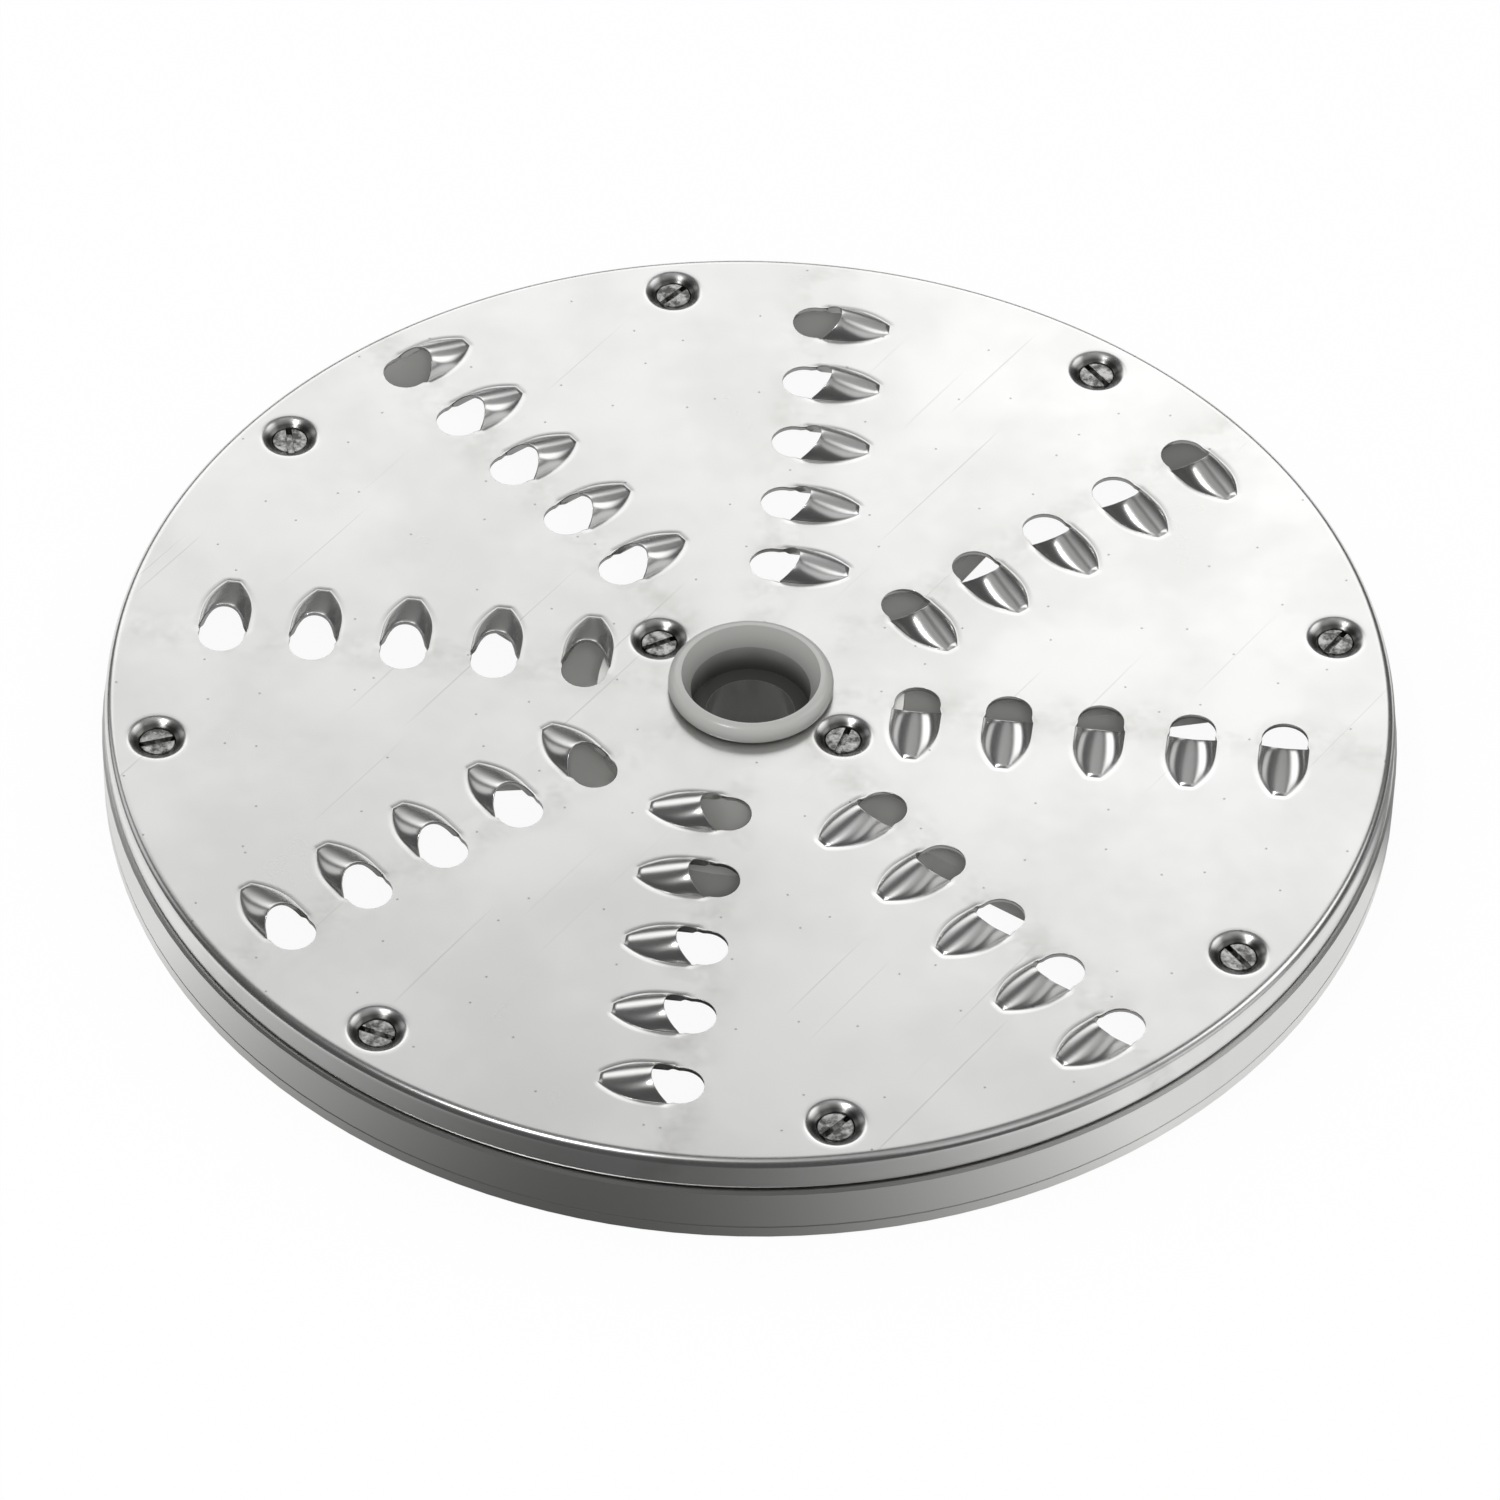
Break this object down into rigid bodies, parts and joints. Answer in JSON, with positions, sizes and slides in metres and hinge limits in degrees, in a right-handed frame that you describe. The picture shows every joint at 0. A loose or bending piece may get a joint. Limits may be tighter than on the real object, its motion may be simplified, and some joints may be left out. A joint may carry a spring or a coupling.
{
  "type": "grating disc",
  "caption": "Grating disc for a vegetable cutter: toothed stainless plate screwed to a spoked aluminium carrier, with a grey plastic bush in the hub.",
  "frame": {"origin": "centre of the disc at the ring's bottom face, on the shaft axis", "axes": "+Z along the shaft axis, up through the teeth; +X to the picture's right; -Y towards the picture's camera"},
  "size_m": [0.205, 0.205, 0.0188],
  "materials": {
    "stainless_plate": "satin polished",
    "cast_aluminium": "turned on the outside, cast inside",
    "grey_plastic": "slightly glossy",
    "screw_steel": "matte"
  },
  "bodies": {
    "root": {"grating_plate": "stainless_plate", "carrier": "cast_aluminium", "hub_bush": "grey_plastic", "rim_screw_1": "screw_steel", "rim_screw_2": "screw_steel", "rim_screw_3": "screw_steel", "rim_screw_4": "screw_steel", "rim_screw_5": "screw_steel", "rim_screw_6": "screw_steel", "rim_screw_7": "screw_steel", "rim_screw_8": "screw_steel", "hub_screw_1": "screw_steel", "hub_screw_2": "screw_steel"}
  },
  "joints": []
}
